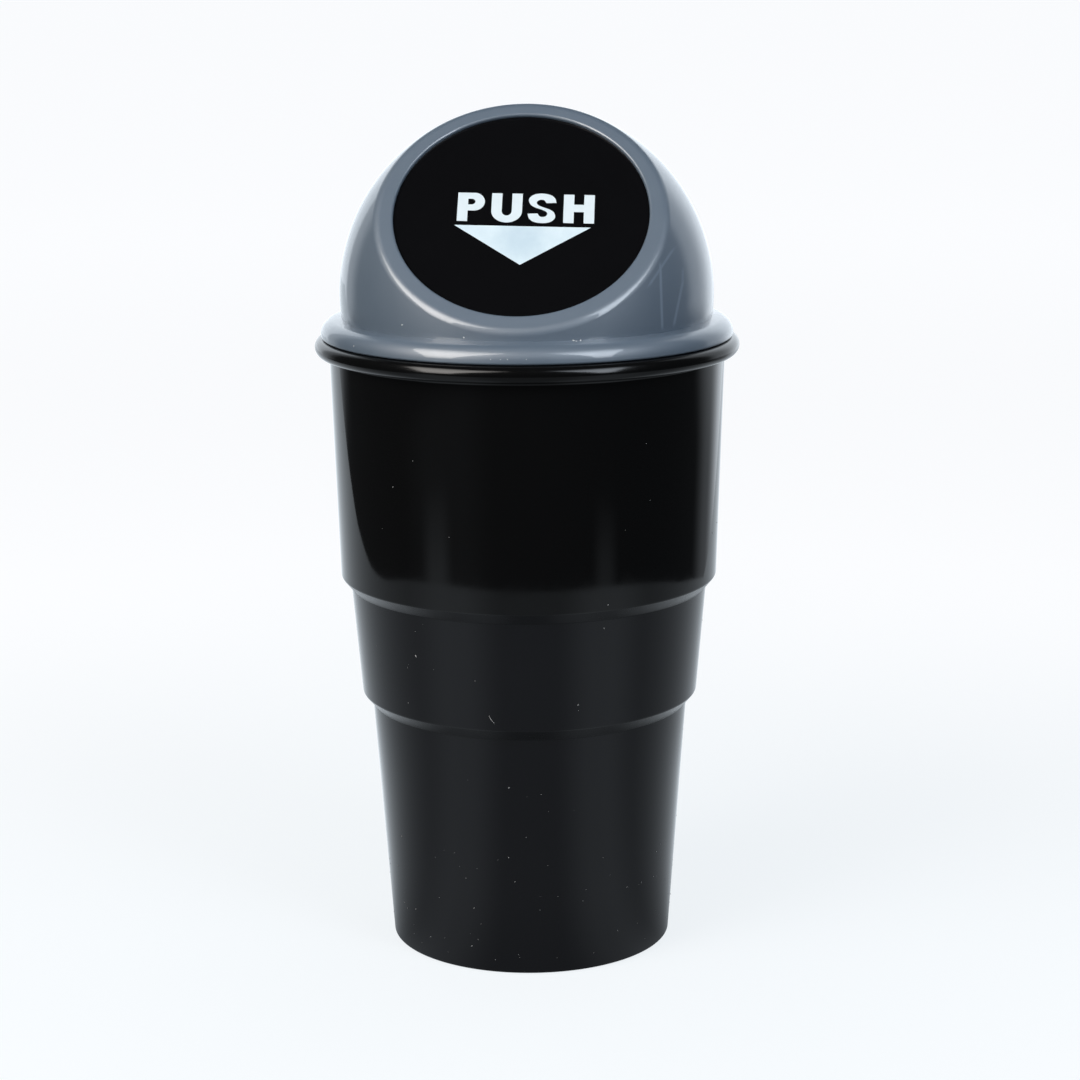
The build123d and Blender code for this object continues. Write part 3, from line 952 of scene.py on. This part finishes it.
# the round white table that the object sees: bright at the back, dimmer towards the front, lit under the softboxes
edge = []
for deg in np.linspace(-88, 128, 82):
    a = math.radians(deg)
    reach_out = 0.335 + (0.016 if deg < 0 else 0.011) * math.sin(a) ** 2 + 0.012 * max(0.0, deg - 98) / 30
    edge.append((reach_out * math.sin(a), -reach_out * math.cos(a)))
edge += [(0.27, 0.34), (0.32, 1.5), (-0.95, 1.5), (-0.62, 0.80), (-0.425, 0.36), (-0.376, 0.22), (-0.356, 0.10)]
swung = [(x * math.cos(SWING) - y * math.sin(SWING), x * math.sin(SWING) + y * math.cos(SWING)) for x, y in edge]
table = stage_plane("table_bounce", swung, -0.0006)
m = bpy.data.materials.new("table_white")
m.use_nodes = True
nt = m.node_tree
nt.nodes.clear()
out = nt.nodes.new("ShaderNodeOutputMaterial")
emi = nt.nodes.new("ShaderNodeEmission")
geo = nt.nodes.new("ShaderNodeTexCoord")
sep = nt.nodes.new("ShaderNodeSeparateXYZ")
nt.links.new(geo.outputs["Object"], sep.inputs[0])
front = math_node(nt, "MULTIPLY", sep.outputs["Y"], -1.0)
az = math_node(nt, "SUBTRACT", math_node(nt, "ARCTAN2", sep.outputs["X"], front), SWING)
round_az = math_node(nt, "ABSOLUTE", az)
under = map_range(nt, math_node(nt, "ABSOLUTE", math_node(nt, "SUBTRACT", round_az, math.radians(45))),
                  math.radians(4), math.radians(31), 0.22, 0.0, True)
rise = math_node(nt, "POWER", map_range(nt, round_az, math.radians(75), math.radians(168), 0.0, 1.0), 1.5)
rise = math_node(nt, "MULTIPLY", rise, map_range(nt, az, math.radians(-60), math.radians(60), 0.95, 0.80, True))
wing = math_node(nt, "ADD", map_range(nt, az, math.radians(-45), math.radians(-80), 0.228, 0.295, True),
                 map_range(nt, az, math.radians(40), math.radians(80), 0.0, 0.04, True))
spread = math_node(nt, "ADD", math_node(nt, "ADD", under, rise), wing)
# close to the foot it is darker in front and brighter behind, and darkest right at the foot: painted shade around
# the object's foot
far = node(nt, "ShaderNodeVectorMath", operation="LENGTH")
nt.links.new(geo.outputs["Object"], far.inputs[0])
close = math_node(nt, "MULTIPLY", map_range(nt, far.outputs["Value"], 0.20, 0.11, 0.0, 1.0, True),
                  map_range(nt, round_az, math.radians(55), math.radians(125), -0.04, 0.28, True))
foot = map_range(nt, far.outputs["Value"], 0.036, 0.075, 0.88, 1.0, True)
spread = math_node(nt, "MULTIPLY", spread, foot)
nt.links.new(math_node(nt, "MULTIPLY", spread, math_node(nt, "ADD", close, 1.0)), emi.inputs["Strength"])
emi.inputs["Color"].default_value = (0.86, 0.945, 1.02, 1)
nt.links.new(emi.outputs[0], out.inputs["Surface"])
table.data.materials.append(m)
only_for(table, False, True)

# the room that the object sees: white behind, dark elsewhere
world = bpy.data.worlds.new("studio")
scene.world = world
world.use_nodes = True
nt = world.node_tree
nt.nodes.clear()
out = nt.nodes.new("ShaderNodeOutputWorld")
bg = nt.nodes.new("ShaderNodeBackground")
tc = nt.nodes.new("ShaderNodeTexCoord")
sep = nt.nodes.new("ShaderNodeSeparateXYZ")
nt.links.new(tc.outputs["Generated"], sep.inputs[0])
turned_back = math_node(nt, "ADD", math_node(nt, "ARCTAN2", sep.outputs["X"], sep.outputs["Y"]), SWING)
to_left = math_node(nt, "MULTIPLY", turned_back, -1.0)
edge_l = math_node(nt, "ADD", map_range(nt, to_left, math.radians(56), math.radians(42), 0.0, 0.42, True),
                   map_range(nt, to_left, math.radians(38), math.radians(33), 0.0, 0.58, True))
edge_r = math_node(nt, "ADD", map_range(nt, turned_back, math.radians(69), math.radians(57), 0.0, 0.52, True),
                   map_range(nt, turned_back, math.radians(52), math.radians(30), 0.0, 0.48, True))
high = math_node(nt, "MULTIPLY", math_node(nt, "MULTIPLY", edge_l, edge_r),
                 map_range(nt, turned_back, math.radians(-20), math.radians(20), 1.36, 1.45, True))
low_l = map_range(nt, to_left, math.radians(48), math.radians(28), 0.0, 1.0, True)
low_r = math_node(nt, "ADD", map_range(nt, turned_back, math.radians(64), math.radians(48), 0.0, 0.22, True),
                  map_range(nt, turned_back, math.radians(46), math.radians(26), 0.0, 0.78, True))
low = math_node(nt, "MULTIPLY", math_node(nt, "MULTIPLY", low_l, low_r), 1.15)
height = map_range(nt, sep.outputs["Z"], -0.22, -0.11, 0.0, 1.0, True)
sweep = math_node(nt, "ADD", math_node(nt, "MULTIPLY", high, height),
                  math_node(nt, "MULTIPLY", low, math_node(nt, "SUBTRACT", 1.0, height)))
# its top edge is lowest straight behind
over = math_node(nt, "SUBTRACT", sep.outputs["Z"], math_node(nt, "MULTIPLY", math_node(nt, "ABSOLUTE", turned_back), 0.36))
sweep = math_node(nt, "MULTIPLY", sweep, map_range(nt, over, 0.35, 0.44, 1.0, 0.0, True))
# the light that spills below the softboxes, past the table's edge
front = math_node(nt, "MULTIPLY", sep.outputs["Y"], -1.0)
az = math_node(nt, "SUBTRACT", math_node(nt, "ARCTAN2", sep.outputs["X"], front), SWING)


def spill(centre, inner, reach, level, top, bottom):
    off = math_node(nt, "ABSOLUTE", math_node(nt, "SUBTRACT", az, math.radians(centre)))
    across = map_range(nt, off, math.radians(inner), math.radians(reach), level, 0.0, True)
    return math_node(nt, "MULTIPLY", across, map_range(nt, sep.outputs["Z"], top, bottom, 0.0, 1.0))


spill_l = spill(-57, 2, 12, 0.225, -0.250, -0.283)
spill_r = spill(47, 1, 10, 0.145, -0.258, -0.283)
glow = spill(-50, 8, 32, 0.045, -0.216, -0.228)
spills = math_node(nt, "ADD", math_node(nt, "ADD", spill_l, spill_r), glow)
room = math_node(nt, "ADD", math_node(nt, "ADD", sweep, spills), 0.038)
nt.links.new(room, bg.inputs["Strength"])
bg.inputs["Color"].default_value = (0.91, 0.985, 1.06, 1)
nt.links.new(bg.outputs[0], out.inputs["Surface"])


def softbox(name, az, el, dist, height, parts, colour):
    """Tapered light aimed at the lid, (radiance, width) from top to bottom; az is measured from the front, towards +X."""
    a, e = math.radians(az) + SWING, math.radians(el)
    d = Vector((math.sin(a) * math.cos(e), -math.cos(a) * math.cos(e), math.sin(e)))
    turn = (-d).to_track_quat("-Z", "Y")
    strips = 15
    part = height / strips
    marks = (np.arange(len(parts)) + 0.5) / len(parts)
    for i in range(strips):
        radiance, width = (float(np.interp((i + 0.5) / strips, marks, [p[k] for p in parts])) for k in (0, 1))
        data = bpy.data.lights.new(f"{name}_{i}", "AREA")
        data.shape = "RECTANGLE"
        data.size, data.size_y = width, part
        data.energy = radiance * math.pi * width * part
        data.color = colour
        obj = bpy.data.objects.new(data.name, data)
        obj.location = Vector((0, 0, 0.14)) + d * dist + turn @ Vector((0, height / 2 - part * (i + 0.5), 0))
        obj.rotation_mode = "QUATERNION"
        obj.rotation_quaternion = turn
        scene.collection.objects.link(obj)
        obj.visible_camera = False


softbox("softbox_left", -48, 27, 0.9, 0.92, ((3.2, 0.80), (6.0, 0.68), (6.8, 0.48), (7.2, 0.35), (4.8, 0.28)), (1.04, 1.0, 0.96))
softbox("softbox_right", 41, 27, 0.9, 0.92, ((1.6, 0.60), (5.2, 0.50), (6.2, 0.32), (6.8, 0.21), (4.0, 0.17)), (0.92, 1.0, 1.10))

# soft light from overhead, too broad and dim to show as a reflection
data = bpy.data.lights.new("overhead", "AREA")
data.shape = "SQUARE"
data.size = 0.8
data.energy = 2.1
top =bpy.data.objects.new("overhead", data)
top.location = (0.0, 0.0, 1.2)
scene.collection.objects.link(top)
top.visible_camera = False
top.visible_glossy = False
